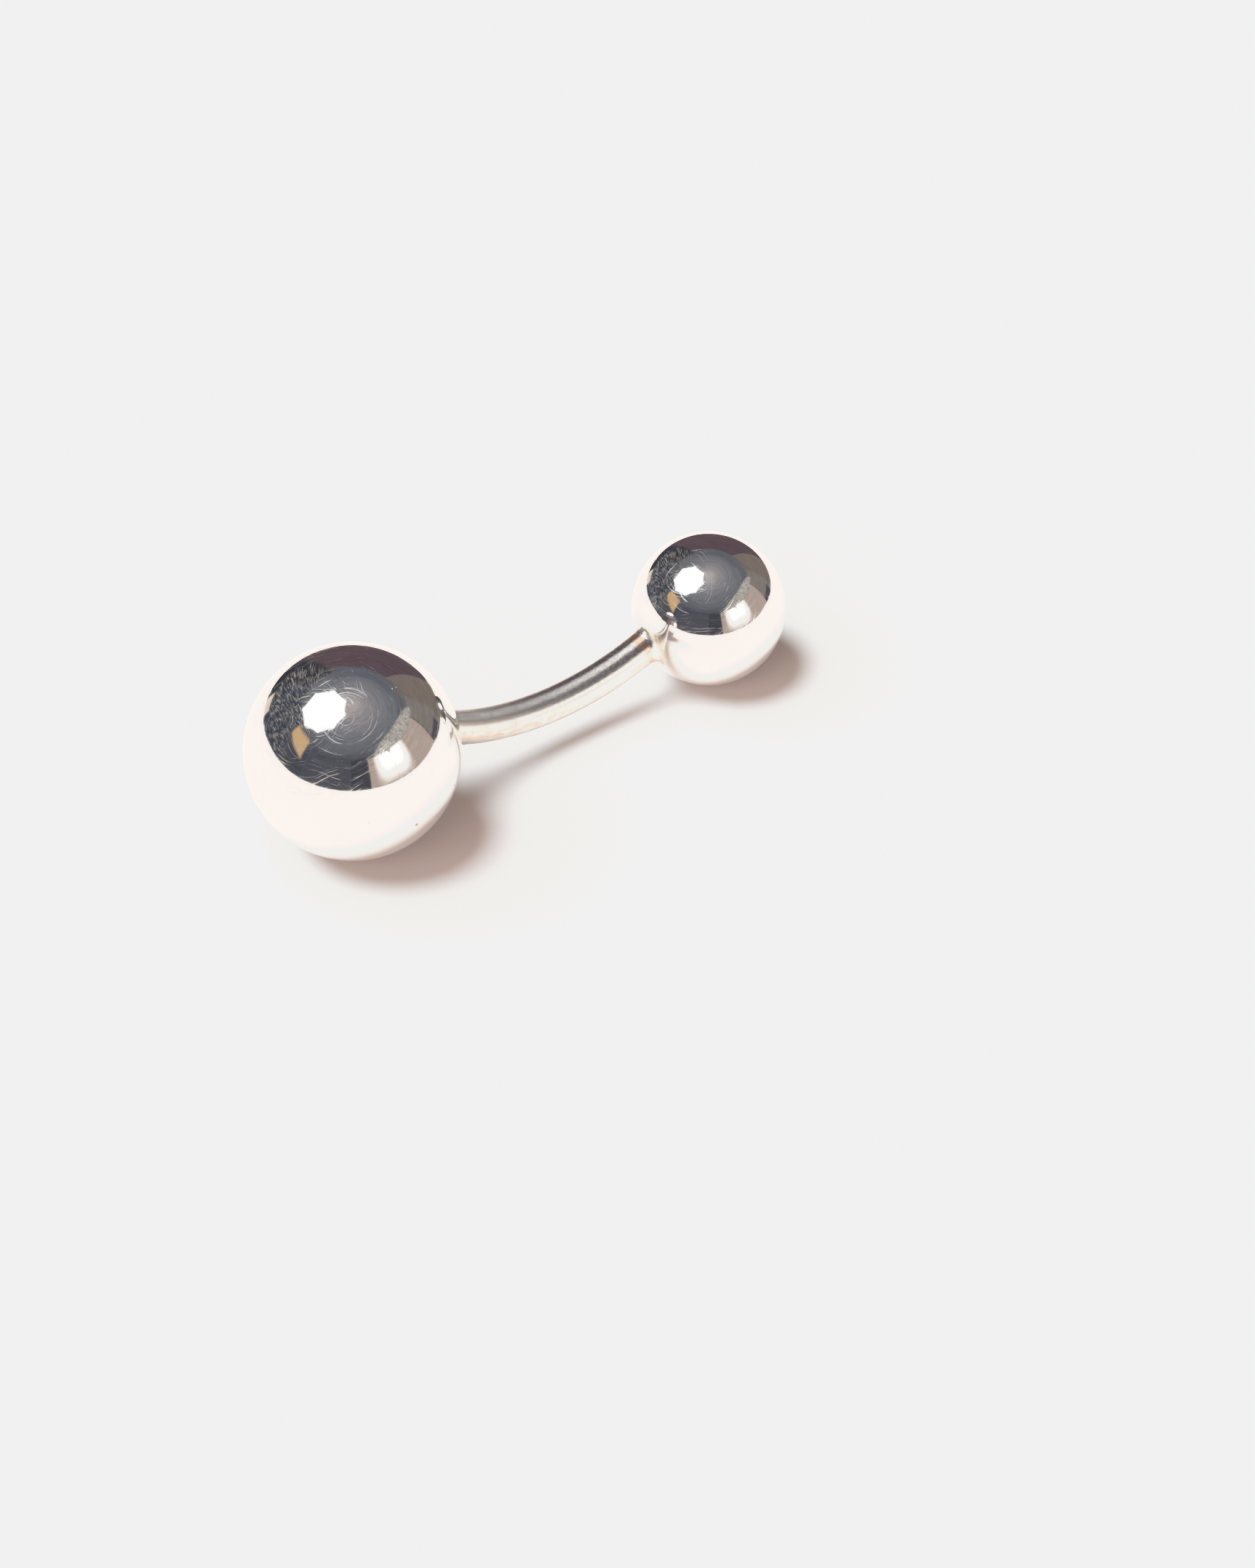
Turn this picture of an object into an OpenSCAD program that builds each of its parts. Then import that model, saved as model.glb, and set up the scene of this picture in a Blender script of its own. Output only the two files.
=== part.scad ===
// A rigid ball cufflink of polished silver: a large hollow ball and a small hollow ball
// soldered to the two ends of a bent round bar.
// It lies as it rests by itself: both balls touch z = 0 and the bar's bow hangs down between
// them. X runs from the large ball to the small one, and the XZ plane is its plane of symmetry.
// The origin is on the surface it rests on, below the middle of its length.

/* [Balls] */
// Diameter of the large ball, the face of the cufflink
large_d = 12.7; // [11:0.1:15]
// Diameter of the small ball, which goes through the buttonholes
small_d = 9.1; // [7.5:0.1:10]
// Distance between the centres of the two balls
centre_distance = 25.3; // [24:0.1:28]
// Thickness of the wall of both hollow balls
ball_wall = 0.8; // [0.5:0.1:1.2]

/* [Bar] */
// Diameter of the round bar
bar_d = 2.1; // [1.6:0.1:2.4]
// Radius that the bar is bent to, along its middle
bend_radius = 16.7; // [14:0.1:24]
// How far the bar's lowest point hangs below the line through both balls' centres
bow_depth = 2.6; // [2.2:0.1:3]

/* [Solder] */
// Radius of the solder fillet between the bar and the large ball
large_fillet = 0.35; // [0.2:0.05:0.6]
// Radius of the solder fillet between the bar and the small ball
small_fillet = 0.5; // [0.2:0.05:0.6]

/* [Hidden] */
$fn = 96;

large_r = large_d / 2;
small_r = small_d / 2;
bar_r = bar_d / 2;

// Both balls touch the surface, so the small one's centre lies lower than the large one's.
drop = large_r - small_r;
axis_tilt = asin(drop / centre_distance);
ball_run = sqrt(pow(centre_distance, 2) - pow(drop, 2));
length = large_r + ball_run + small_r;
large_x = large_r - length / 2;

// The modules below build along the line of centres, from the large ball's centre. The bend's
// centre is above the middle of the gap between the balls.
bend_s = (large_r + centre_distance - small_r) / 2;
bend_w = bend_radius - bow_depth;
large_side = bend_s;
small_side = centre_distance - bend_s;

// Angle at the bend's centre, from straight down to where the bar's middle line enters a ball of
// radius r whose centre lies side away along the line of centres.
function entry_angle(r, side) =
    let (
        reach = norm([side, bend_w]),
        lean = atan(side / bend_w),
        spread = acos((pow(reach, 2) + pow(bend_radius, 2) - pow(r, 2)) / (2 * reach * bend_radius))
    )
    lean - spread;

large_entry = entry_angle(large_r, large_side);
small_entry = entry_angle(small_r, small_side);

// How far below the line of centres the bar enters a ball, as an angle at the ball's centre.
function entry_dip(side, entry) =
    atan((bend_radius * cos(entry) - bend_w) / (side - bend_radius * sin(entry)));

large_dip = entry_dip(large_side, large_entry);
small_dip = entry_dip(small_side, small_entry);

// The ring that the bar is cut from runs on past each ball's wall by this angle.
run_in = 3 * ball_wall / bend_radius * 180 / PI;

// Each ball's poles lie along the line of centres, and it is turned about them by this angle, so
// that the meshed ball has a flat and not a corner at the bottom, where the cufflink rests.
large_turn = 2.25;
small_turn = 2.64;

module at_small_ball()
{
    translate([centre_distance, 0, 0]) children();
}

module ball(r, turn)
{
    rotate([0, 90, 0])
        rotate([0, 0, turn])
            sphere(r = r);
}

module large_hollow()
{
    sphere(r = large_r - ball_wall);
}

module small_hollow()
{
    at_small_ball() sphere(r = small_r - ball_wall);
}

module large_ball()
{
    difference()
    {
        ball(large_r, large_turn);
        large_hollow();
    }
}

module small_ball()
{
    difference()
    {
        at_small_ball() ball(small_r, small_turn);
        small_hollow();
    }
}

// A stretch of a ring in the XZ plane, cut off flush with the inside of both balls.
module bar()
{
    start = -large_entry - run_in;
    sweep = large_entry + small_entry + 2 * run_in;
    difference()
    {
        translate([bend_s, 0, bend_w])
            rotate([90, 0, 0])
                rotate([0, 0, start - 90])
                    rotate_extrude(angle = sweep)
                        translate([bend_radius, 0])
                            circle(r = bar_r);
        large_hollow();
        small_hollow();
    }
}

// A collar round the bar where it leaves a ball of radius r, with a hollow outer face that
// spreads onto the ball. Its axis is +X, from the ball's centre.
module solder_fillet(r, fillet)
{
    reach = bar_r + fillet;
    seat = sqrt(pow(r, 2) - pow(reach, 2));
    sunk = ball_wall / 2;
    rotate([0, 90, 0])
        rotate_extrude()
            difference()
            {
                translate([0, seat - sunk])
                    square([reach, sunk + fillet]);
                translate([reach, seat + fillet])
                    circle(r = fillet);
            }
}

module large_solder()
{
    rotate([0, large_dip, 0])
        solder_fillet(large_r, large_fillet);
}

module small_solder()
{
    at_small_ball()
        rotate([0, 180 - small_dip, 0])
            solder_fillet(small_r, small_fillet);
}

module cufflink()
{
    color("silver")
        translate([large_x, 0, large_r])
            rotate([0, axis_tilt, 0])
            {
                large_ball();
                small_ball();
                bar();
                large_solder();
                small_solder();
            }
}

cufflink();
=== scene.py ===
"""The looks of a polished silver ball cufflink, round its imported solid: the pieces, their
finish, a pale floor, soft studio light and the camera. The cufflink's own sizes are in
millimetres and the studio's in metres."""

import math
from collections import namedtuple

import bmesh
import bpy
from mathutils import Matrix, Vector, noise


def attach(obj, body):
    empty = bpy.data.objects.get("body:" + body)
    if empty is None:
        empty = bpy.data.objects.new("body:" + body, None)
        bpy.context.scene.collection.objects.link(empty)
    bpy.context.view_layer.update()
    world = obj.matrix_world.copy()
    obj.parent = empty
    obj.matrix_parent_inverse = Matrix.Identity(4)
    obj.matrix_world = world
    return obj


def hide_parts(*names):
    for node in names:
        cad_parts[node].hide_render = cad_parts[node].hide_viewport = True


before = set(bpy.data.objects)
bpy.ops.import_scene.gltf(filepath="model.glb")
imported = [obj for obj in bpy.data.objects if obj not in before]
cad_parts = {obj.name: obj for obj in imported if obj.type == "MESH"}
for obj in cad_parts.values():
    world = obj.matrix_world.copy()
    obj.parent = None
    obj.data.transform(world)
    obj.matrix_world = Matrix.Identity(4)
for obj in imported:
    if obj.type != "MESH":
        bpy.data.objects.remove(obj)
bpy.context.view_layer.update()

MM = 0.001

# Sizes of the cufflink in millimetres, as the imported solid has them

LARGE_R = 12.7 / 2
SMALL_R = 9.1 / 2
CENTRE_DISTANCE = 25.3
BAR_R = 2.1 / 2
BEND_RADIUS = 16.7
BOW_DEPTH = 2.6

# The line through both centres falls from the large ball to the small one, at the angle that has
# this sine and cosine. The origin is below the middle of the cufflink's length.
SLOPE_SIN = (LARGE_R - SMALL_R) / CENTRE_DISTANCE
SLOPE_COS = math.sqrt(1 - SLOPE_SIN**2)
LARGE_X = LARGE_R - (LARGE_R + CENTRE_DISTANCE * SLOPE_COS + SMALL_R) / 2

# The bend's centre, by how far it is along the line of centres and above it
BEND_ALONG = (LARGE_R + CENTRE_DISTANCE - SMALL_R) / 2
BEND_ABOVE = BEND_RADIUS - BOW_DEPTH


def link_point(along, above):
    """A place in the frame, by how far it is along the line of centres and above it."""
    x = LARGE_X + along * SLOPE_COS + above * SLOPE_SIN
    z = LARGE_R - along * SLOPE_SIN + above * SLOPE_COS
    return Vector((x, 0, z))


def link_direction(along, above):
    return link_point(along, above) - link_point(0, 0)


def bar_middle(angle):
    """The bar's middle line, by the angle at the bend's centre from straight down."""
    along = BEND_ALONG + BEND_RADIUS * math.sin(angle)
    above = BEND_ABOVE - BEND_RADIUS * math.cos(angle)
    return link_point(along, above)


def bar_axes(angle):
    """Along the bar, and outwards from the bend's centre, which is downwards."""
    along = link_direction(math.cos(angle), math.sin(angle))
    outward = link_direction(math.sin(angle), -math.cos(angle))
    return along, outward


def bar_point(angle, turn, radius=BAR_R):
    """A place on the bar's surface, by the turn round the bar from its underside."""
    outward = bar_axes(angle)[1]
    sideways = Vector((0, 1, 0))
    return bar_middle(angle) + radius * (math.cos(turn) * outward + math.sin(turn) * sideways)


def entry_angle(radius, side):
    """How far from straight down the bar's middle line enters a ball of this radius, whose centre
    lies this far to the side of the bend's centre."""
    reach = math.hypot(side, BEND_ABOVE)
    lean = math.atan2(side, BEND_ABOVE)
    cosine = (reach**2 + BEND_RADIUS**2 - radius**2) / (2 * reach * BEND_RADIUS)
    return lean - math.acos(cosine)


# A place where the bar enters a ball: the ball's centre and radius, the angle along the bar, and
# the sense in which that angle grows into the ball
Joint = namedtuple("Joint", "centre radius entry inward")

LARGE_JOINT = Joint(link_point(0, 0), LARGE_R, -entry_angle(LARGE_R, BEND_ALONG), -1)
SMALL_JOINT = Joint(
    link_point(CENTRE_DISTANCE, 0),
    SMALL_R,
    entry_angle(SMALL_R, CENTRE_DISTANCE - BEND_ALONG),
    1,
)

# Meshes of the balls

BALL_SUBDIVISIONS = 7
# The unevenness of hand polishing: its height, and how many swells there are to a millimetre
POLISH_HEIGHT = 0.0012
POLISH_SWELLS = 0.5

# Two pits in the large ball, as directions from its centre, and the dents there: the direction,
# radius and depth
BROWN_PIT = Vector((0.041, -0.981, -0.190)).normalized()
BLACK_PIT = Vector((0.571, -0.813, -0.112)).normalized()
LARGE_DENTS = (
    (BROWN_PIT, 0.16, 0.015),
    (BLACK_PIT, 0.13, 0.012),
)
# A dent has faded out at this many times its radius.
DENT_END = 3


def icosphere_mesh(name, subdivisions, place):
    """A closed round mesh, with each point where place puts its direction."""
    shape = bmesh.new()
    bmesh.ops.create_icosphere(shape, subdivisions=subdivisions, radius=1.0)
    for vert in shape.verts:
        vert.co = place(vert.co.normalized())
    mesh = bpy.data.meshes.new(name)
    shape.to_mesh(mesh)
    shape.free()
    return mesh


def make_ball(name, joint, dents, seed):
    """A ball with the slight unevenness of hand polishing, and shallow dents."""
    shift = Vector((seed, 0, 0))

    def place(out):
        height = POLISH_HEIGHT * noise.noise(out * joint.radius * POLISH_SWELLS + shift)
        for direction, reach, depth in dents:
            away = (out - direction).length * joint.radius
            if away < DENT_END * reach:
                height -= depth * math.exp(-((away / reach) ** 2))
        return (joint.centre + out * (joint.radius + height)) * MM

    return bpy.data.objects.new(name, icosphere_mesh(name, BALL_SUBDIVISIONS, place))


# Meshes of the bar and the solder


def ring_object(name, rings, closed):
    """A mesh through rings of as many points each. It is closed by joining the last ring to the
    first, or else each end is closed by a fan."""
    count = len(rings[0])
    verts = [tuple(point * MM) for ring in rings for point in ring]
    faces = []
    rows = len(rings) if closed else len(rings) - 1
    for row in range(rows):
        here = row * count
        there = (row + 1) % len(rings) * count
        for first in range(count):
            second = (first + 1) % count
            faces.append((here + first, here + second, there + second, there + first))
    if not closed:
        for row in (0, rows):
            start = row * count
            middle = len(verts)
            verts.append(tuple(sum(rings[row], Vector()) / count * MM))
            for first in range(count):
                faces.append((start + first, start + (first + 1) % count, middle))
    mesh = bpy.data.meshes.new(name)
    mesh.from_pydata(verts, [], faces)
    shape = bmesh.new()
    shape.from_mesh(mesh)
    bmesh.ops.recalc_face_normals(shape, faces=shape.faces)
    shape.to_mesh(mesh)
    shape.free()
    return bpy.data.objects.new(name, mesh)


# The bar runs on this far into the balls from the places where it enters them.
RUN_IN = 2.4
BAR_START = LARGE_JOINT.entry - RUN_IN / BEND_RADIUS
BAR_END = SMALL_JOINT.entry + RUN_IN / BEND_RADIUS
BAR_STATIONS = 220
BAR_AROUND = 96
BAR_STEP = (BAR_END - BAR_START) * BEND_RADIUS / BAR_STATIONS
# The waves that bending and filing by hand leave: their height, how many there are to a
# millimetre, and a seed
WAVE_HEIGHT = 0.006
WAVES_ALONG = 0.45
WAVE_SEED = 7


def lay_lines_along(mesh):
    """Gives the bar's faces their place along it and round it, in millimetres."""
    layer = mesh.uv_layers.new(name="along")
    for polygon in mesh.polygons:
        spans = [divmod(mesh.loops[i].vertex_index, BAR_AROUND) for i in polygon.loop_indices]
        turns = [turn for row, turn in spans]
        wraps = max(turns) - min(turns) > BAR_AROUND / 2
        for loop, (row, turn) in zip(polygon.loop_indices, spans):
            if wraps and turn < BAR_AROUND / 2:
                turn += BAR_AROUND
            layer.data[loop].uv = (row * BAR_STEP, turn * math.tau * BAR_R / BAR_AROUND)


def make_bar():
    """The round bar, with slight waves."""
    rings = []
    for station in range(BAR_STATIONS + 1):
        angle = BAR_START + (BAR_END - BAR_START) * station / BAR_STATIONS
        along = angle * BEND_RADIUS
        ring = []
        for part in range(BAR_AROUND):
            turn = math.tau * part / BAR_AROUND
            spot = (along * WAVES_ALONG, math.cos(turn), math.sin(turn) + WAVE_SEED)
            wave = noise.noise(Vector(spot))
            ring.append(bar_point(angle, turn, BAR_R + WAVE_HEIGHT * wave))
        rings.append(ring)
    bar = ring_object("bar", rings, closed=False)
    lay_lines_along(bar.data)
    return bar


SOLDER_AROUND = 144
SOLDER_STEPS = 14
# The waves in the solder's edges on the ball and on the bar: each one's height as a share of the
# solder's reach, its pace round the bar and its shift in the noise
BALL_WAVES = ((0.45, 1.3, 0), (0.2, 4, 0))
BAR_WAVES = ((0.5, 1.7, 5),)
# How high its lumps stand, as a share of its reach over the ball, and how many lie to a millimetre
LUMP_SHARE = 0.2
LUMPS = 2.2
# The edges of its hollow face run on by this share and sink this far under the silver.
EDGE_SHARE = 1.12
EDGE_SINK = 0.03
# How far under the silver's surface its hidden side lies, in the bar and in the ball's wall
SINK_IN_BAR = 0.5
SINK_IN_BALL = 0.4
# A line of the bar's surface meets the ball between these distances before and behind the joint.
SEARCH_BEFORE = 2.5
SEARCH_BEHIND = 1.5
HALVINGS = 40


def meet_ball(joint, turn):
    """Where the bar's surface line at this turn meets the ball, by angle along the bar."""
    outside = joint.entry - joint.inward * SEARCH_BEFORE / BEND_RADIUS
    inside = joint.entry + joint.inward * SEARCH_BEHIND / BEND_RADIUS
    for _ in range(HALVINGS):
        middle = (outside + inside) / 2
        if (bar_point(middle, turn) - joint.centre).length > joint.radius:
            outside = middle
        else:
            inside = middle
    return (outside + inside) / 2


def uneven_reach(reach, spot, waves):
    """The solder's reach at one spot round the bar."""
    share = 1
    for height, pace, shift in waves:
        share += height * noise.noise(spot * pace + Vector((shift, 0, 0)))
    return reach * share


def solder_section(joint, turn, on_ball, on_bar, seed):
    """The solder's section at one turn round the bar: its hollow face, from the ball to the bar,
    and two points inside the metal."""
    spot = Vector((math.cos(turn), math.sin(turn), seed))
    ball_reach = uneven_reach(on_ball, spot, BALL_WAVES)
    bar_reach = uneven_reach(on_bar, spot, BAR_WAVES)
    corner_angle = meet_ball(joint, turn)
    corner = bar_point(corner_angle, turn)
    up = (corner - joint.centre).normalized()
    away = corner - bar_middle(corner_angle)
    away = (away - away.dot(up) * up).normalized()

    def on_sphere(distance, sink):
        bend = distance / joint.radius
        out = math.cos(bend) * up + math.sin(bend) * away
        return joint.centre + out * (joint.radius - sink)

    def on_rod(distance, sink):
        angle = corner_angle - joint.inward * distance / BEND_RADIUS
        return bar_point(angle, turn, BAR_R - sink)

    rim = on_sphere(ball_reach, 0)
    end = on_rod(bar_reach, 0)
    lift = ((rim + end) / 2 - corner).normalized()
    face = []
    for step in range(SOLDER_STEPS + 1):
        share = step / SOLDER_STEPS
        point = rim * (1 - share) ** 2 + corner * 2 * share * (1 - share) + end * share * share
        lump = max(0, noise.noise(point * LUMPS + Vector((seed, 0, 0)))) * LUMP_SHARE * on_ball
        face.append(point + lift * lump * math.sin(math.pi * share))
    return [
        on_sphere(ball_reach * EDGE_SHARE, EDGE_SINK),
        *face,
        on_rod(bar_reach * EDGE_SHARE, EDGE_SINK),
        on_rod(0, SINK_IN_BAR),
        joint.centre + up * (joint.radius - SINK_IN_BALL),
    ]


def make_solder(name, joint, on_ball, on_bar, seed):
    """A lumpy ring of solder between the bar and a ball, with its reach over each."""
    turns = [math.tau * part / SOLDER_AROUND for part in range(SOLDER_AROUND)]
    rings = [solder_section(joint, turn, on_ball, on_bar, seed) for turn in turns]
    return ring_object(name, rings, closed=True)


# Node trees and colours


def srgb(red, green, blue):
    """A linear colour from the 0 to 255 values that a screen shows."""

    def linear(value):
        value /= 255
        return value / 12.92 if value <= 0.04045 else ((value + 0.055) / 1.055) ** 2.4

    return (linear(red), linear(green), linear(blue), 1.0)


class Tree:
    """A node tree whose nodes are added and linked in one call each."""

    def __init__(self, tree):
        tree.nodes.clear()
        self.tree = tree

    def add(self, kind, inputs=None, **settings):
        node = self.tree.nodes.new(kind)
        for name, value in settings.items():
            setattr(node, name, value)
        for key, value in (inputs or {}).items():
            self.put(value, node.inputs[key])
        return node

    def put(self, value, socket):
        if isinstance(value, bpy.types.NodeSocket):
            self.tree.links.new(value, socket)
        else:
            socket.default_value = value

    def show(self, shader, output="ShaderNodeOutputMaterial"):
        self.add(output, {"Surface": shader.outputs[0]})

    def math(self, operation, *values, clamp=False):
        inputs = dict(enumerate(values))
        return self.add("ShaderNodeMath", inputs, operation=operation, use_clamp=clamp).outputs[0]

    def times(self, first, *others):
        for other in others:
            first = self.math("MULTIPLY", first, other)
        return first

    def scaled(self, value, factor, plus):
        """value times factor, plus more."""
        return self.math("MULTIPLY_ADD", value, factor, plus)

    def inverse(self, value):
        """1 where value is 0, and 0 where it is 1."""
        return self.math("SUBTRACT", 1.0, value)

    def step(self, value, low, high):
        """0 where value is below low, 1 where it is above high, and smooth between."""
        inputs = {"Value": value, "From Min": low, "From Max": high}
        node = self.add("ShaderNodeMapRange", inputs, interpolation_type="SMOOTHSTEP")
        return node.outputs[0]

    def vector(self, operation, *values, out="Vector"):
        node = self.add("ShaderNodeVectorMath", dict(enumerate(values)), operation=operation)
        return node.outputs[out]

    def combined(self, *parts):
        return self.add("ShaderNodeCombineXYZ", dict(enumerate(parts))).outputs[0]

    def noise(self, vector, scale, detail=2.0, roughness=0.5, distortion=0.0):
        inputs = {
            "Vector": vector,
            "Scale": scale,
            "Detail": detail,
            "Roughness": roughness,
            "Distortion": distortion,
        }
        return self.add("ShaderNodeTexNoise", inputs).outputs[0]

    def noise_along(self, value, detail, roughness):
        """Noise that changes with one value only."""
        inputs = {"W": value, "Scale": 1.0, "Detail": detail, "Roughness": roughness}
        return self.add("ShaderNodeTexNoise", inputs, noise_dimensions="1D").outputs[0]

    def mix(self, factor, first, second, blend="MIX"):
        node = self.add("ShaderNodeMix", data_type="RGBA", blend_type=blend)
        sockets = {socket.identifier: socket for socket in node.inputs}
        self.put(factor, sockets["Factor_Float"])
        self.put(first, sockets["A_Color"])
        self.put(second, sockets["B_Color"])
        return next(socket for socket in node.outputs if socket.identifier == "Result_Color")


def make_material(name):
    material = bpy.data.materials.new(name)
    material.use_nodes = True
    return material, Tree(material.node_tree)


# The finish: colours of the silver and its stains, and of the painted shade on the bar

SILVER = (0.93, 0.91, 0.88, 1.0)
WARM_SILVER = (0.915, 0.885, 0.84, 1.0)
RUBBED_SILVER = (0.90, 0.855, 0.79, 1.0)
SOLDER = (0.84, 0.78, 0.70, 1.0)
COPPER_STAIN = (0.78, 0.47, 0.32, 1.0)
YELLOW_STAIN = (0.86, 0.76, 0.55, 1.0)
# Painted shade on the bar's sides, which darkens and warms what they mirror
PAINTED_SIDE_SHADE = (0.62, 0.43, 0.38, 1.0)
# Painted shade on the bar's top, which dims the lamp's highlight there
PAINTED_TOP_SHADE = (0.53, 0.475, 0.455, 1.0)

# A stain at a joint: from where to where along the bar, in millimetres from where it enters the
# ball, the colour and how strong it is
Stain = namedtuple("Stain", "joint near far tint strength")

LARGE_STAINS = (Stain(LARGE_JOINT, -0.1, 0.5, YELLOW_STAIN, 0.7),)
SMALL_STAINS = (
    Stain(SMALL_JOINT, -0.50, -0.15, COPPER_STAIN, 0.7),
    Stain(SMALL_JOINT, 0.1, 0.7, YELLOW_STAIN, 0.35),
)
# How softly a stain ends, in millimetres
STAIN_BLUR = 0.2

# Dull specks on the large ball: the direction from its centre, radius in millimetres and colour
LARGE_SPECKS = (
    (Vector((-0.426, -0.904, 0.028)).normalized(), 0.05, (0.42, 0.40, 0.38, 1.0)),
    (BROWN_PIT, 0.17, (0.40, 0.30, 0.27, 1.0)),
    (BLACK_PIT, 0.13, (0.26, 0.24, 0.22, 1.0)),
    (Vector((0.218, -0.349, 0.911)).normalized(), 0.06, SILVER),
    (Vector((0.262, -0.345, 0.901)).normalized(), 0.05, SILVER),
)
SPECK_DULLING = 0.35

# The cloth's strokes on a ball: the pole that they run round, how close they lie to a millimetre
# and a seed. Most run round the place that the cloth pressed hardest.
CLOTH_POLE = Vector((-0.447, -0.198, 0.872)).normalized()
CLOTH_STROKES = (
    (CLOTH_POLE, 13.0, 3.7),
    (Vector((-0.30, -0.32, 0.90)).normalized(), 11.0, 41.3),
    (Vector((-0.60, -0.10, 0.79)).normalized(), 9.5, 17.9),
    (Vector((0.75, 0.45, 0.48)).normalized(), 7.0, 77.1),
)
# How far a stroke wanders from a true circle at most, in millimetres
STROKE_WANDER = 2.5
# Light spreads towards and away from a point this many radii out over the cloth's pole.
POLE_REACH = 10


def in_millimetres(tree):
    """Each place of the surface in the frame."""
    place = tree.add("ShaderNodeTexCoord").outputs["Object"]
    return tree.vector("MULTIPLY", place, (1 / MM, 1 / MM, 1 / MM))


def hairlines(tree, out, radius, pole, per_mm, seed):
    """Fine arcs that a polishing cloth leaves round a pole of a ball: 1 on a line, 0 beside it.
    out is the direction from the ball's centre."""
    lean = tree.math("ARCCOSINE", tree.vector("DOT_PRODUCT", out, pole, out="Value"))
    spot = tree.vector("MULTIPLY_ADD", out, (radius,) * 3, (seed, -seed, seed / 2))
    wander = tree.times(tree.noise(spot, scale=0.25, detail=1.0), STROKE_WANDER)
    across = tree.scaled(lean, radius, wander)
    grain = tree.noise_along(tree.scaled(across, per_mm, seed), detail=2.0, roughness=0.7)
    line = tree.step(grain, low=0.59, high=0.76)
    stretch = tree.step(tree.noise(spot, scale=0.9, detail=3.0), low=0.44, high=0.62)
    fade = tree.scaled(tree.step(lean, low=0.5, high=1.1), factor=-0.6, plus=1.0)
    return tree.times(line, stretch, fade)


def stain_mask(tree, place, stain):
    """1 on the stain, with a ragged edge on both sides, and only close to the joint."""
    offset = tree.vector("SUBTRACT", place, bar_middle(stain.joint.entry))
    along = bar_axes(stain.joint.entry)[0]
    reach = tree.vector("DOT_PRODUCT", offset, along, out="Value")
    ragged = tree.scaled(tree.noise(place, scale=1.8, detail=3.0), factor=0.5, plus=-0.25)
    reach = tree.math("ADD", reach, ragged)
    rise = tree.step(reach, stain.near - STAIN_BLUR, stain.near + STAIN_BLUR / 2)
    fall = tree.step(reach, stain.far - STAIN_BLUR / 2, stain.far + STAIN_BLUR)
    distance = tree.vector("LENGTH", offset, out="Value")
    apart = tree.step(distance, low=1.6, high=2.6)
    return tree.times(rise, tree.inverse(fall), tree.inverse(apart))


def add_stains(tree, place, stains, colour, rough, dulling=0.0):
    """Lays the stains over the metal, which they dull by this much roughness."""
    for stain in stains:
        mask = stain_mask(tree, place, stain)
        colour = tree.mix(tree.times(mask, stain.strength), colour, stain.tint)
        if dulling:
            rough = tree.scaled(mask, dulling, rough)
    return colour, rough


def add_specks(tree, place, out, radius, specks, colour, rough):
    """Small dull spots, with uneven edges, on a ball of this radius."""
    for direction, reach, tint in specks:
        aside = tree.vector("SUBTRACT", out, direction)
        distance = tree.times(tree.vector("LENGTH", aside, out="Value"), radius)
        distance = tree.scaled(tree.noise(place, scale=9.0), reach, distance)
        mask = tree.inverse(tree.step(distance, low=reach * 0.9, high=reach * 1.5))
        colour = tree.mix(mask, colour, tint)
        rough = tree.scaled(mask, SPECK_DULLING, rough)
    return colour, rough


def show_metal(tree, colour, rough, height, strength, depth, more=None):
    """A metal surface, with a bump of this height and strength, depth metres deep at most."""
    inputs = {"Height": height, "Strength": strength, "Distance": depth}
    bump = tree.add("ShaderNodeBump", inputs).outputs[0]
    inputs = {"Base Color": colour, "Metallic": 1.0, "Roughness": rough, "Normal": bump}
    tree.show(tree.add("ShaderNodeBsdfPrincipled", {**inputs, **(more or {})}))


def make_polished(name, joint, stains, specks):
    """Mirror-polished silver with cloth hairlines, and stains where the bar is soldered on. The
    hairlines spread light across themselves, towards and away from the pole they run round."""
    material, tree = make_material(name)
    place = in_millimetres(tree)
    cloud = tree.noise(place, scale=0.4, detail=3.0)
    colour = tree.mix(tree.step(cloud, low=0.45, high=0.8), SILVER, WARM_SILVER)
    out = tree.vector("NORMALIZE", tree.vector("SUBTRACT", place, joint.centre))
    lines = 0.0
    for pole, per_mm, seed in CLOTH_STROKES:
        arcs = hairlines(tree, out, joint.radius, pole, per_mm, seed)
        lines = tree.math("MAXIMUM", lines, arcs)
    rough = tree.scaled(cloud, factor=0.03, plus=0.018)
    rough = tree.scaled(lines, factor=0.24, plus=rough)
    colour, rough = add_stains(tree, place, stains, colour, rough, dulling=0.12)
    colour, rough = add_specks(tree, place, out, joint.radius, specks, colour, rough)
    ripple = tree.noise(place, scale=2.2)
    to_pole = tree.vector("NORMALIZE", tree.vector("SUBTRACT", CLOTH_POLE * POLE_REACH, out))
    spread = {"Anisotropic": 1.0, "Tangent": to_pole}
    show_metal(tree, colour, rough, ripple, strength=0.25, depth=0.004 * MM, more=spread)
    return material


def bar_noise(tree, unrolled, along, around, detail, roughness):
    """Noise on the bar, with this many grains to a millimetre along it and round it. unrolled is
    the place along the bar and round it, in millimetres."""
    grains = tree.vector("MULTIPLY", unrolled, (along, around, 0.0))
    return tree.noise(grains, 1.0, detail, roughness)


def painted_side_shade(tree, unrolled, along, down):
    """A patchy painted shade along both sides of the bar, which darkens and warms what they mirror
    and is thinner towards the small ball. down is 1 on the bar's underside and -1 on its top."""
    above = tree.step(down, low=-0.60, high=-0.15)
    below = tree.step(down, low=0.0, high=0.35)
    sides = tree.math("SUBTRACT", above, below, clamp=True)
    patches = bar_noise(tree, unrolled, along=1.1, around=2.4, detail=5.0, roughness=0.65)
    thinning = tree.scaled(along, factor=0.012, plus=-0.10)
    patches = tree.step(tree.math("SUBTRACT", patches, thinning), low=0.30, high=0.62)
    return tree.times(sides, tree.scaled(patches, factor=0.6, plus=0.4))


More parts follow.
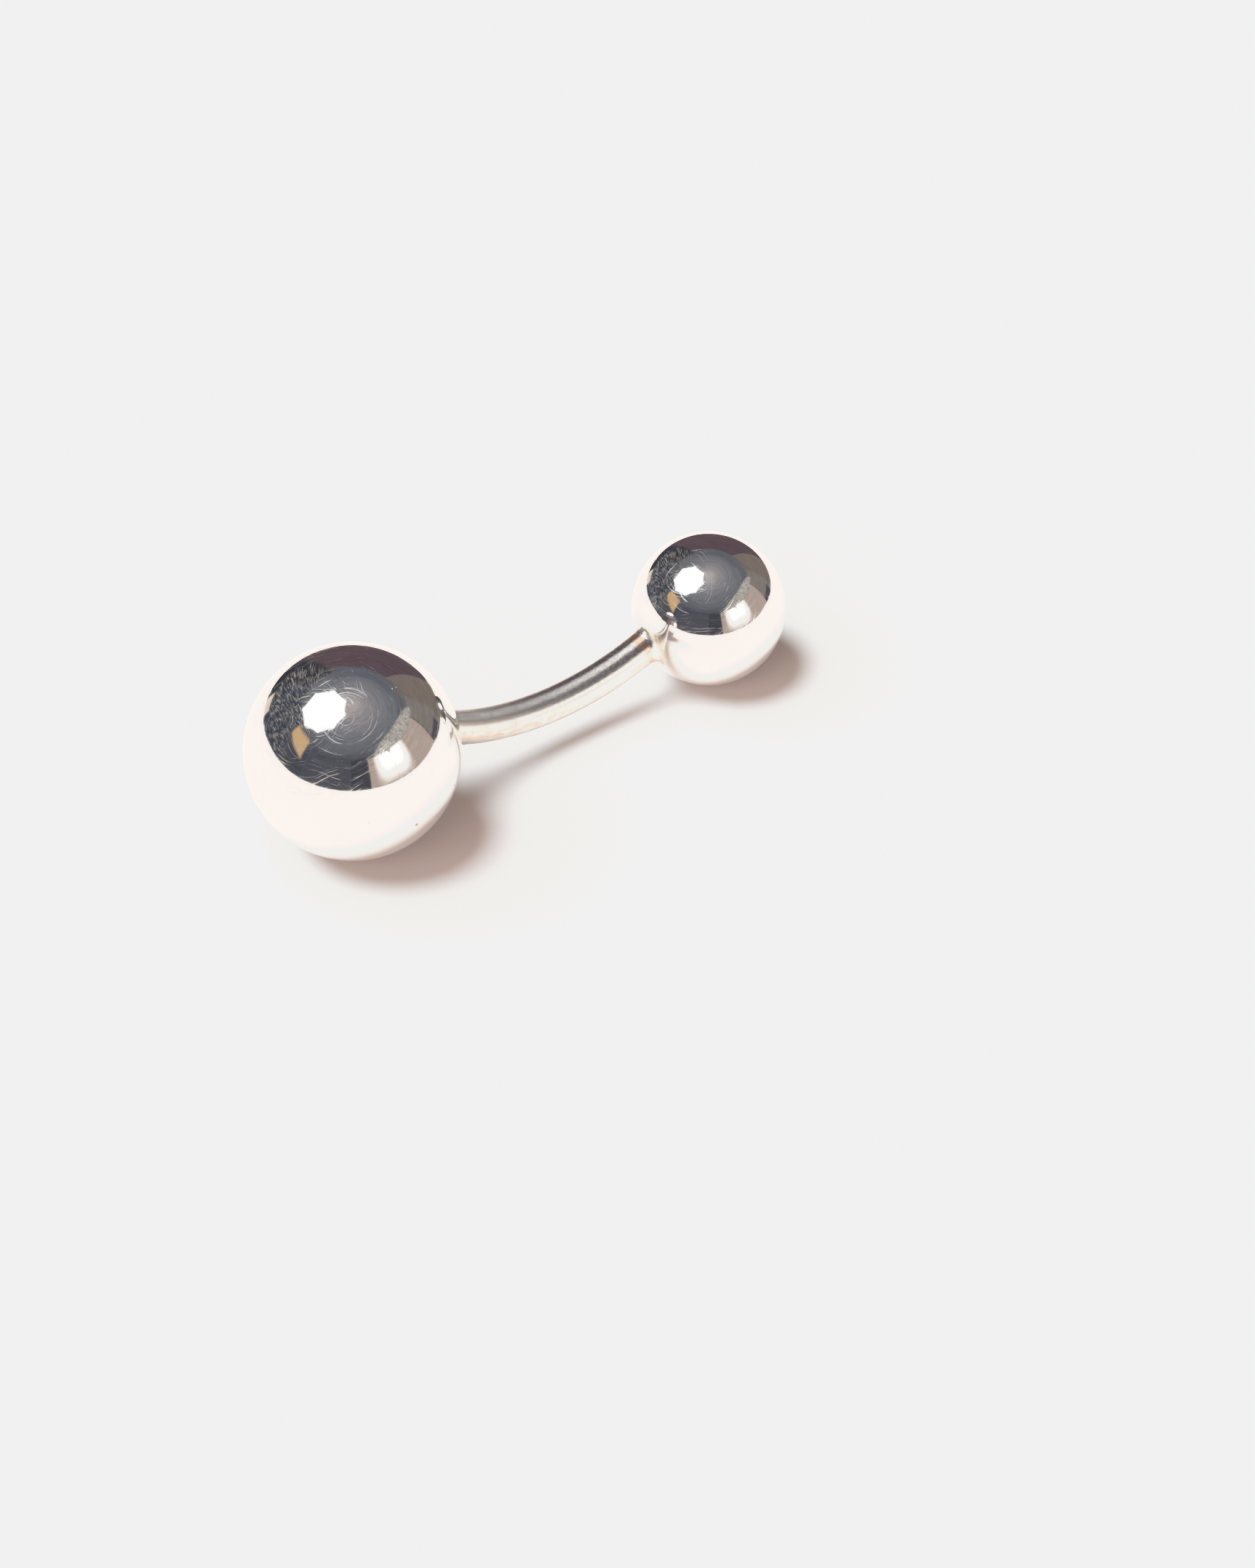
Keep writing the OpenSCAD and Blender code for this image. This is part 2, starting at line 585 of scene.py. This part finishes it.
def painted_top_shade(tree, unrolled, along, down):
    """A speckled painted shade on top of the bar, which dims the lamp's highlight there and grows
    towards the small ball.
    """
    top = tree.inverse(tree.step(down, low=-0.80, high=-0.55))
    growth = tree.step(along, low=4.0, high=17.0)
    specks = bar_noise(tree, unrolled, along=3.5, around=5.0, detail=3.0, roughness=0.7)
    return tree.times(top, growth, tree.step(specks, low=0.28, high=0.62))


def make_rubbed(name, stains):
    """The bar's finish: rubbed round and round with fine paper, so lights on it are drawn out
    along the bar, and a few deeper scratches run round it."""
    material, tree = make_material(name)
    place = in_millimetres(tree)
    unrolled = tree.add("ShaderNodeUVMap", uv_map="along").outputs[0]
    along, around = tree.add("ShaderNodeSeparateXYZ", {0: unrolled}).outputs[:2]
    down = tree.math("COSINE", tree.math("DIVIDE", around, BAR_R))
    scratches = bar_noise(tree, unrolled, along=9.0, around=0.35, detail=4.0, roughness=0.65)
    cloud = tree.noise(place, scale=0.7, detail=3.0)
    colour = tree.mix(tree.step(cloud, low=0.4, high=0.75), WARM_SILVER, RUBBED_SILVER)
    # Painted shade: darker, warmer patches along both sides of the bar
    colour = tree.mix(painted_side_shade(tree, unrolled, along, down), colour, PAINTED_SIDE_SHADE)
    # Painted shade: grey specks on top of the bar that dim its highlight
    colour = tree.mix(painted_top_shade(tree, unrolled, along, down), colour, PAINTED_TOP_SHADE)
    rough = tree.scaled(cloud, factor=0.08, plus=0.32)
    rough = tree.scaled(tree.step(scratches, low=0.50, high=0.66), factor=0.20, plus=rough)
    colour, rough = add_stains(tree, place, stains, colour, rough)
    tangent = tree.add("ShaderNodeTangent", direction_type="UV_MAP", uv_map="along").outputs[0]
    spread = {"Anisotropic": 0.9, "Tangent": tangent}
    show_metal(tree, colour, rough, scratches, strength=0.3, depth=0.02 * MM, more=spread)
    return material


def make_solder_finish(name, stains):
    """Solder left by hand: uneven, less polished and stained."""
    material, tree = make_material(name)
    place = in_millimetres(tree)
    cloud = tree.noise(place, scale=2.0, detail=4.0, roughness=0.6)
    colour = tree.mix(tree.step(cloud, low=0.35, high=0.7), SILVER, SOLDER)
    rough = tree.scaled(cloud, factor=0.25, plus=0.06)
    colour, rough = add_stains(tree, place, stains, colour, rough, dulling=0.15)
    grain = tree.noise(place, scale=6.0, detail=4.0)
    show_metal(tree, colour, rough, grain, strength=0.5, depth=0.03 * MM)
    return material


# The cufflink's five pieces


def finish_piece(piece, material):
    """Gives a piece its finish and puts it in the scene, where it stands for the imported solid."""
    bpy.context.scene.collection.objects.link(piece)
    piece.data.materials.append(material)
    for polygon in piece.data.polygons:
        polygon.use_smooth = True
    # The floor's soft shade comes from the lamps, without sparkles thrown by the mirror finish.
    piece.visible_diffuse = False
    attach(piece, "root")
    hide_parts("cufflink")


def dress_cufflink():
    large_polish = make_polished("large_polish", LARGE_JOINT, LARGE_STAINS, LARGE_SPECKS)
    small_polish = make_polished("small_polish", SMALL_JOINT, SMALL_STAINS, ())
    rubbed = make_rubbed("rubbed_silver", LARGE_STAINS + SMALL_STAINS)
    large_finish = make_solder_finish("large_solder_finish", LARGE_STAINS)
    small_finish = make_solder_finish("small_solder_finish", SMALL_STAINS)
    large_solder = make_solder("large_solder", LARGE_JOINT, on_ball=0.35, on_bar=0.30, seed=2.0)
    small_solder = make_solder("small_solder", SMALL_JOINT, on_ball=0.50, on_bar=0.40, seed=9.0)
    finish_piece(make_ball("large_ball", LARGE_JOINT, LARGE_DENTS, seed=3.0), large_polish)
    finish_piece(make_ball("small_ball", SMALL_JOINT, (), seed=11.0), small_polish)
    finish_piece(make_bar(), rubbed)
    finish_piece(large_solder, large_finish)
    finish_piece(small_solder, small_finish)


# The camera

VIEW_AZIMUTH = math.radians(-34.95)
VIEW_ELEVATION = math.radians(42.7)
VIEW_DISTANCE = 575.2 * MM
VIEW_TARGET = Vector((3.649, -5.769, 0)) * MM
VIEW_LENS = 225.43
SENSOR_WIDTH = 36
NEAREST_SEEN = 0.01
FARTHEST_SEEN = 50


def make_camera():
    back = Vector(
        (
            math.sin(VIEW_AZIMUTH) * math.cos(VIEW_ELEVATION),
            -math.cos(VIEW_AZIMUTH) * math.cos(VIEW_ELEVATION),
            math.sin(VIEW_ELEVATION),
        )
    )
    data = bpy.data.cameras.new("camera")
    data.sensor_width = SENSOR_WIDTH
    data.lens = VIEW_LENS
    data.clip_start = NEAREST_SEEN
    data.clip_end = FARTHEST_SEEN
    camera = bpy.data.objects.new("camera", data)
    camera.location = VIEW_TARGET + back * VIEW_DISTANCE
    camera.rotation_euler = back.to_track_quat("Z", "Y").to_euler()
    bpy.context.scene.collection.objects.link(camera)
    bpy.context.scene.camera = camera


# How much light becomes which tone of red, green and blue on the screen, all in linear terms. It is
# true up to a middle grey and then has the soft shoulder of a bright exposure, so that the lit
# floor keeps an even tone, and only lights brighter than the floor go on to white.

FLOOR_TONE = srgb(241, 241, 241)
LIT_FLOOR = 2.0
RESPONSE = (
    (0.0, (0.0, 0.0, 0.0)),
    (0.60, (0.60, 0.60, 0.60)),
    (0.80, (0.742, 0.742, 0.738)),
    (1.0, (0.845, 0.835, 0.815)),
    (1.3, (0.875, 0.863, 0.838)),
    (1.8, (0.878, 0.870, 0.850)),
    (LIT_FLOOR, FLOOR_TONE[:3]),
    (2.25, (0.94, 0.94, 0.94)),
    (2.5, (0.982, 0.982, 0.982)),
    (2.9, (1.0, 1.0, 1.0)),
)


def set_response():
    view = bpy.context.scene.view_settings
    view.view_transform = "Standard"
    view.look = "None"
    view.use_curve_mapping = True
    view.curve_mapping.use_clip = False
    for channel, curve in enumerate(view.curve_mapping.curves[:3]):
        while len(curve.points) < len(RESPONSE):
            curve.points.new(0.5, 0.5)
        for point, (light, tones) in zip(curve.points, RESPONSE):
            point.location = (light, tones[channel])
            point.handle_type = "AUTO_CLAMPED"
    view.curve_mapping.update()


# The floor, the table and the domes. The table's glow lifts the shade that the silver mirrors.

FLOOR_COLOUR = (0.62, 0.62, 0.62, 1.0)
TABLE_COLOUR = (0.80, 0.69, 0.60, 1.0)
TABLE_GLOW = (0.0, 0.07, 0.12, 1.0)

FLOOR_REACH = 3.0
TABLE_HALF_WIDTH = 0.7
TABLE_NEAR_EDGE = -2.0
TABLE_FAR_EDGE = 50 * MM
BACKDROP_RADIUS = 6.0
BACKDROP_SUBDIVISIONS = 4
GLOW_RADIUS = 5.0
GLOW_SUBDIVISIONS = 3


def from_studio(x, y, z=0.0):
    """Turns x to the camera's right and y away from it into the frame."""
    return Matrix.Rotation(VIEW_AZIMUTH, 3, "Z") @ Vector((x, y, z))


def show_to(thing, camera=False, glossy=False, diffuse=False):
    """Lets only these kinds of ray see a thing, which throws no shade."""
    thing.visible_camera = camera
    thing.visible_glossy = glossy
    thing.visible_diffuse = diffuse
    thing.visible_transmission = False
    thing.visible_volume_scatter = False
    thing.visible_shadow = False


def stage_object(mesh, material):
    mesh.materials.append(material)
    thing = bpy.data.objects.new(mesh.name, mesh)
    bpy.context.scene.collection.objects.link(thing)
    return thing


def flat_mesh(name, verts, faces):
    mesh = bpy.data.meshes.new(name)
    mesh.from_pydata([tuple(vert) for vert in verts], [], faces)
    return mesh


def emission(tree, colour, strength=1.0):
    return tree.add("ShaderNodeEmission", {"Color": colour, "Strength": strength})


def glowing_material(name, colour, strength=1.0):
    """A glow that rays may meet but that isn't sampled as a lamp."""
    material, tree = make_material(name)
    tree.show(emission(tree, colour, strength))
    material.cycles.emission_sampling = "NONE"
    return material


def floor_material():
    material, tree = make_material("floor")
    tree.show(tree.add("ShaderNodeBsdfDiffuse", {"Color": FLOOR_COLOUR}))
    return material


def table_material():
    material, tree = make_material("table_top")
    matt = tree.add("ShaderNodeBsdfDiffuse", {"Color": TABLE_COLOUR})
    glow = emission(tree, TABLE_GLOW)
    tree.show(tree.add("ShaderNodeAddShader", {0: matt.outputs[0], 1: glow.outputs[0]}))
    material.cycles.emission_sampling = "NONE"
    return material


def make_floors():
    """A pale floor for the eye, and the warm white table top that the silver mirrors, which ends
    a little way behind the cufflink."""
    far = FLOOR_REACH
    corners = [(-far, -far, 0), (far, -far, 0), (far, far, 0), (-far, far, 0)]
    floor = stage_object(flat_mesh("floor", corners, [(0, 1, 2, 3)]), floor_material())
    show_to(floor, camera=True)
    corners = [
        from_studio(-TABLE_HALF_WIDTH, TABLE_NEAR_EDGE),
        from_studio(TABLE_HALF_WIDTH, TABLE_NEAR_EDGE),
        from_studio(TABLE_HALF_WIDTH, TABLE_FAR_EDGE),
        from_studio(-TABLE_HALF_WIDTH, TABLE_FAR_EDGE),
    ]
    table = stage_object(flat_mesh("table_top", corners, [(0, 1, 2, 3)]), table_material())
    show_to(table, glossy=True)


def make_dome(name, subdivisions, radius, colour):
    mesh = icosphere_mesh(name, subdivisions, lambda out: out * radius)
    return stage_object(mesh, glowing_material(name, colour))


def make_backdrop():
    """A pale dome that only the eye sees, so that the floor has no edge from any side."""
    dome = make_dome("backdrop", BACKDROP_SUBDIVISIONS, BACKDROP_RADIUS, FLOOR_TONE)
    show_to(dome, camera=True)


# The lamps: name, direction, width in degrees and share of the floor's red, green and blue light.
# Their shares and the glow's make 1 together.

LAMPS = (
    ("key", Vector((-0.402, 0.263, 0.864)), 43.8, (0.782, 0.836, 0.857)),
    ("fill", Vector((-0.898, -0.361, 0.69)), 36, (0.083, 0.061, 0.053)),
)
GLOW_SHARE = (0.135, 0.103, 0.090)

SOFTBOX_DIRECTION = from_studio(-0.4536, -0.0153, 0.891).normalized()
SOFTBOX_DISTANCE = 0.7
SOFTBOX_STRENGTH = 3.4
# Its reach at a rib and midway between two, as shares of its distance, and the first rib's turn
SOFTBOX_RIB_REACH = 0.412
SOFTBOX_SIDE_REACH = 0.362
SOFTBOX_TURN = math.radians(16)
SOFTBOX_RIBS = 8
PARTS_PER_RIB = 12


def make_lamp(name, direction, width, share):
    """A lamp that gives its share, for red, green and blue, of the light on the floor."""
    direction = direction.normalized()
    data = bpy.data.lights.new(name, "SUN")
    data.angle = math.radians(width)
    data.cycles.use_multiple_importance_sampling = False
    data.color = share
    data.energy = LIT_FLOOR * math.pi / FLOOR_COLOUR[0] / direction.z
    lamp = bpy.data.objects.new(name, data)
    lamp.rotation_euler = direction.to_track_quat("Z", "Y").to_euler()
    lamp.visible_glossy = False
    bpy.context.scene.collection.objects.link(lamp)


def make_glow():
    """A dome that gives its share of the floor's light evenly from all round, also below the balls.
    It stands for the light that the polished silver throws back beneath itself."""
    colour = [LIT_FLOOR * part / FLOOR_COLOUR[0] for part in GLOW_SHARE] + [1.0]
    show_to(make_dome("glow", GLOW_SUBDIVISIONS, GLOW_RADIUS, colour), diffuse=True)


def make_softbox():
    """The octagonal lamp that the silver mirrors. Its cloth is drawn in between its ribs."""
    side = Vector((0, 0, 1)).cross(SOFTBOX_DIRECTION).normalized()
    top = SOFTBOX_DIRECTION.cross(side)
    middle = SOFTBOX_DIRECTION * SOFTBOX_DISTANCE
    count = SOFTBOX_RIBS * PARTS_PER_RIB
    rim = []
    for part in range(count):
        turn = SOFTBOX_TURN + math.tau * part / count
        ribward = abs(part % PARTS_PER_RIB / PARTS_PER_RIB * 2 - 1)
        share = SOFTBOX_SIDE_REACH + (SOFTBOX_RIB_REACH - SOFTBOX_SIDE_REACH) * ribward**2
        across = math.cos(turn) * side + math.sin(turn) * top
        rim.append(middle + across * share * SOFTBOX_DISTANCE)
    faces = [(0, 1 + part, 1 + (part + 1) % count) for part in range(count)]
    cloth = glowing_material("softbox", (1.0, 1.0, 1.0, 1.0), SOFTBOX_STRENGTH)
    show_to(stage_object(flat_mesh("softbox", [middle, *rim], faces), cloth), glossy=True)


# The dim studio that the silver mirrors. Azimuths and elevations are in degrees as seen from the
# camera, with azimuth 0 straight away from it and 90 to its right.

STUDIO_STRENGTH = 1.1
STRAIGHT_UP = 90

# The studio's tones by elevation above the table
TONES_BY_ELEVATION = (
    (0, (88, 88, 95)),
    (36, (88, 89, 96)),
    (48, (104, 107, 113)),
    (60, (114, 115, 121)),
    (76, (138, 135, 138)),
    (88, (166, 159, 158)),
)
# Dark flags and pale cards round the table: azimuths, elevations, how soft the edges are across
# and up, and the colour
CARDS = (
    ((-22, 56), (44, 51), 16, 7, (92, 95, 103)),
    ((31, 58), (-12, 37), 3, 8, (116, 107, 101)),
    ((57, 79), (-12, 36), 4, 8, (122, 116, 112)),
    ((-20, 31), (-12, 38), 2, 6, (88, 75, 81)),
    ((-42, -20), (-12, 42), 4, 8, (52, 53, 62)),
    ((-100, -42), (-12, 40), 5, 10, (56, 63, 76)),
    ((-128, -100), (-12, 30), 5, 6, (72, 75, 83)),
    ((-150, -128), (-12, 34), 5, 6, (76, 78, 87)),
    ((-190, -150), (-12, 36), 4, 6, (78, 79, 87)),
    ((160, 190), (-12, 34), 3, 6, (66, 67, 75)),
    ((62, 80), (-12, 5), 4, 4, (78, 74, 84)),
    ((80, 160), (-4, 32), 2, 2, (168, 152, 143)),
    ((-56, -43), (-12, 1), 2, 2, (226, 208, 188)),
)
DARK_STREAK = (0.77, 0.79, 0.84, 1.0)
LIGHT_STREAK = (1.24, 1.23, 1.20, 1.0)
WHISKER = srgb(160, 153, 146)
AMBER = srgb(204, 168, 126)
DARK_SPECKLE = srgb(136, 134, 132)
LIGHT_SPECKLE = srgb(182, 177, 170)
LIT_PANEL = (3.8, 3.6, 3.4, 1.0)
POST = srgb(150, 142, 136)


class StudioTree(Tree):
    """The world's node tree, with each direction's azimuth and elevation in the studio."""

    def __init__(self, tree):
        super().__init__(tree)
        direction = self.add("ShaderNodeTexCoord").outputs["Generated"]
        inputs = {"Vector": direction, "Angle": -VIEW_AZIMUTH}
        turned = self.add("ShaderNodeVectorRotate", inputs, rotation_type="Z_AXIS")
        self.direction = turned.outputs[0]
        parts = self.add("ShaderNodeSeparateXYZ", {0: self.direction}).outputs
        self.right, self.away, up = parts
        self.azimuth = self.math("DEGREES", self.math("ARCTAN2", self.right, self.away))
        self.elevation = self.math("DEGREES", self.math("ARCSINE", up))

    def within(self, value, low, high, soft):
        rise = self.step(value, low - soft / 2, low + soft / 2)
        fall = self.step(value, high - soft / 2, high + soft / 2)
        return self.times(rise, self.inverse(fall))

    def area(self, azimuths, elevations, soft_across, soft_up):
        across = self.within(self.azimuth, *azimuths, soft_across)
        return self.times(across, self.within(self.elevation, *elevations, soft_up))

    def squared(self, value, middle, half):
        """The square of how far value lies from the middle, with half as 1."""
        return self.math("POWER", self.scaled(value, 1 / half, -middle / half), 2.0)


def walls_and_cards(tree):
    ramp = tree.add("ShaderNodeValToRGB", {0: tree.math("DIVIDE", tree.elevation, STRAIGHT_UP)})
    while len(ramp.color_ramp.elements) < len(TONES_BY_ELEVATION):
        ramp.color_ramp.elements.new(0.5)
    for element, (height, tone) in zip(ramp.color_ramp.elements, TONES_BY_ELEVATION):
        element.position = height / STRAIGHT_UP
        element.color = srgb(*tone)
    colour = ramp.outputs[0]
    for azimuths, elevations, soft_across, soft_up, tone in CARDS:
        mask = tree.area(azimuths, elevations, soft_across, soft_up)
        colour = tree.mix(mask, colour, srgb(*tone))
    return colour


def add_streaks(tree, colour):
    """Long soft streaks that run level all round."""
    across = 3.0
    per_degree_up = 1.3
    level = tree.combined(
        tree.times(tree.right, across),
        tree.times(tree.away, across),
        tree.times(tree.elevation, per_degree_up),
    )
    streaks = tree.noise(level, scale=1.0, detail=5.0, roughness=0.65, distortion=0.6)
    shade = tree.mix(tree.step(streaks, low=0.30, high=0.70), DARK_STREAK, LIGHT_STREAK)
    return tree.mix(1.0, colour, shade, "MULTIPLY")


def add_whiskers(tree, colour):
    """Short light streaks on the left that bend down towards the back."""
    per_degree_across = 0.14
    from_left = tree.math("MAXIMUM", tree.math("ADD", tree.azimuth, 90.0), 0.0)
    bent = tree.scaled(tree.math("POWER", from_left, 2.0), factor=0.012, plus=tree.elevation)
    leaning = tree.combined(tree.times(tree.azimuth, per_degree_across), bent)
    whiskers = tree.noise(leaning, scale=1.0, detail=3.0, roughness=0.6, distortion=0.5)
    whiskers = tree.step(whiskers, low=0.52, high=0.60)
    place = tree.area((-100, -24), (2, 44), soft_across=14, soft_up=8)
    strength = 0.9
    return tree.mix(tree.times(whiskers, place, strength), colour, WHISKER)


def add_amber_card(tree, colour):
    """An amber card whose lower edge slopes."""
    slope = tree.scaled(tree.azimuth, factor=-0.36, plus=tree.elevation)
    card = tree.area((-121, -95), (14, 37), soft_across=4, soft_up=5)
    strength = 0.9
    card = tree.times(card, tree.step(slope, low=59.0, high=63.0), strength)
    return tree.mix(card, colour, AMBER)


def add_speckled_rim(tree, colour):
    """The speckled arch over the lit panel."""
    across = tree.squared(tree.azimuth, middle=110, half=42)
    above = tree.squared(tree.elevation, middle=31, half=15)
    arch = tree.inverse(tree.step(tree.math("ADD", across, above), low=0.85, high=1.1))
    arch = tree.times(arch, tree.step(tree.elevation, low=31.0, high=33.0))
    speckle = tree.noise(tree.direction, scale=22.0, detail=3.0, roughness=0.7)
    speckle = tree.mix(tree.step(speckle, low=0.38, high=0.62), DARK_SPECKLE, LIGHT_SPECKLE)
    return tree.mix(arch, colour, speckle)


def add_lit_panel(tree, colour):
    """The lit panel, which fades out below and to both sides. A thin post stands before it, and
    its upper edge dips behind the post."""
    post_azimuth = 130.5
    upper_edge = 32.5
    dip_reach = 3.0
    rise = tree.step(tree.azimuth, low=108.0, high=123.0)
    fall = tree.inverse(tree.step(tree.azimuth, low=139.0, high=155.0))
    fade = tree.step(tree.elevation, low=-2.0, high=28.0)
    aside = tree.math("ABSOLUTE", tree.math("SUBTRACT", tree.azimuth, post_azimuth))
    dip = tree.math("MAXIMUM", tree.math("SUBTRACT", dip_reach, aside), 0.0)
    above = tree.math("SUBTRACT", tree.math("ADD", tree.elevation, dip), upper_edge)
    under = tree.inverse(tree.step(above, low=-1.5, high=0.5))
    colour = tree.mix(tree.times(rise, fade, fall, under), colour, LIT_PANEL)
    post = tree.area((130.1, 131.1), (-3, 32), soft_across=0.8, soft_up=1)
    strength = 0.35
    return tree.mix(tree.times(post, strength), colour, POST)


def paint_surroundings():
    """Everything round the table, which only the silver sees and which lights nothing else."""
    world = bpy.data.worlds.new("surroundings")
    world.use_nodes = True
    bpy.context.scene.world = world
    tree = StudioTree(world.node_tree)
    colour = walls_and_cards(tree)
    for add in (add_streaks, add_whiskers, add_amber_card, add_speckled_rim, add_lit_panel):
        colour = add(tree, colour)
    inputs = {"Color": colour, "Strength": STUDIO_STRENGTH}
    tree.show(tree.add("ShaderNodeBackground", inputs), "ShaderNodeOutputWorld")
    world.cycles_visibility.diffuse = False
    world.cycles.sampling_method = "NONE"


make_camera()
dress_cufflink()
make_floors()
make_backdrop()
make_softbox()
paint_surroundings()
for name, direction, width, share in LAMPS:
    make_lamp(name, direction, width, share)
make_glow()
set_response()
